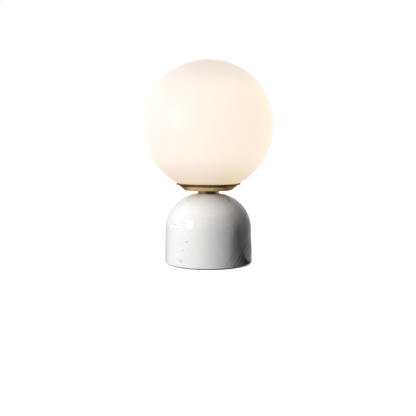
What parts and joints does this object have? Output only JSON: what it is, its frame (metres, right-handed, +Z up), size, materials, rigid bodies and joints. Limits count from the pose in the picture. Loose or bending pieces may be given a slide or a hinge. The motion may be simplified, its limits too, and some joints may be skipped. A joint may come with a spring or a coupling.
{
  "type": "glass globe table lamp",
  "caption": "Table lamp: an opal glass globe on a spun brass gallery over a turned marble dome base, lit from inside by a plug-in capsule lamp.",
  "frame": {"origin": "on the table, at the centre of the foot pad's underside", "axes": "+Z up along the lamp's axis, -Y to the front, +Y to the back where the supply lead enters"},
  "size_m": [0.15, 0.15, 0.2345],
  "materials": {
    "marble": "polished white marble, faint grey veins",
    "satin_brass": "spun and brushed, clear lacquer",
    "brass_fitting": "machined",
    "zinc_steel": "zinc plated",
    "opal_glass": "opal, satin outside, lit from inside",
    "silicone": "translucent white silicone",
    "foam": "dark closed-cell foam",
    "fibre": "red-brown fibre",
    "black_nylon": "moulded, satin",
    "white_nylon": "moulded, satin",
    "white_ceramic": "glazed",
    "tinned_contact": "tinned bronze",
    "wire_brown": "silicone insulation",
    "wire_blue": "silicone insulation",
    "wire_green": "silicone insulation, green with a yellow stripe",
    "lamp_plastic": "moulded white",
    "frosted_dome": "frosted dome, lit",
    "light_board": "white board",
    "light_chip": "yellow phosphor, lit"
  },
  "bodies": {
    "base": {"foot_pad": "foam", "base_cover": "zinc_steel", "cover_screws": "zinc_steel", "cover_inserts": "brass_fitting", "marble_base": "marble", "cord_inlet_bush": "black_nylon", "threaded_tube": "zinc_steel", "clamp_pad": "fibre", "clamp_washer": "zinc_steel", "spring_washer": "zinc_steel", "earth_tag": "tinned_contact", "lower_nut": "brass_fitting", "tube_end_bush": "black_nylon", "neck_spacer": "satin_brass", "gallery_dish": "satin_brass", "gallery_washer": "zinc_steel", "gallery_nut": "brass_fitting", "globe_ring": "silicone", "stem_sleeve": "satin_brass", "holder_cup": "satin_brass", "holder_bracket": "zinc_steel", "holder_nut": "brass_fitting", "lampholder": "white_ceramic", "holder_plate": "white_ceramic", "holder_screws": "zinc_steel", "contact_live": "tinned_contact", "contact_neutral": "tinned_contact", "terminal_block": "white_nylon", "terminal_barrels": "brass_fitting", "clamp_screws": "zinc_steel", "block_screws": "zinc_steel", "live_wire": "wire_brown", "neutral_wire": "wire_blue", "earth_wire": "wire_green"},
    "globe": {"glass_globe": "opal_glass"},
    "bulb": {"bulb_base": "lamp_plastic", "bulb_pins": "tinned_contact", "bulb_dome": "frosted_dome", "led_board": "light_board", "led_chips": "light_chip"}
  },
  "joints": [
    {"name": "globe_lift", "type": "slide", "parent": "base", "child": "globe", "axis": [0, 0, 1], "range_m": [0, 0.13]},
    {"name": "bulb_pull", "type": "slide", "parent": "base", "child": "bulb", "axis": [0, 0, 1], "range_m": [0, 0.018]}
  ]
}
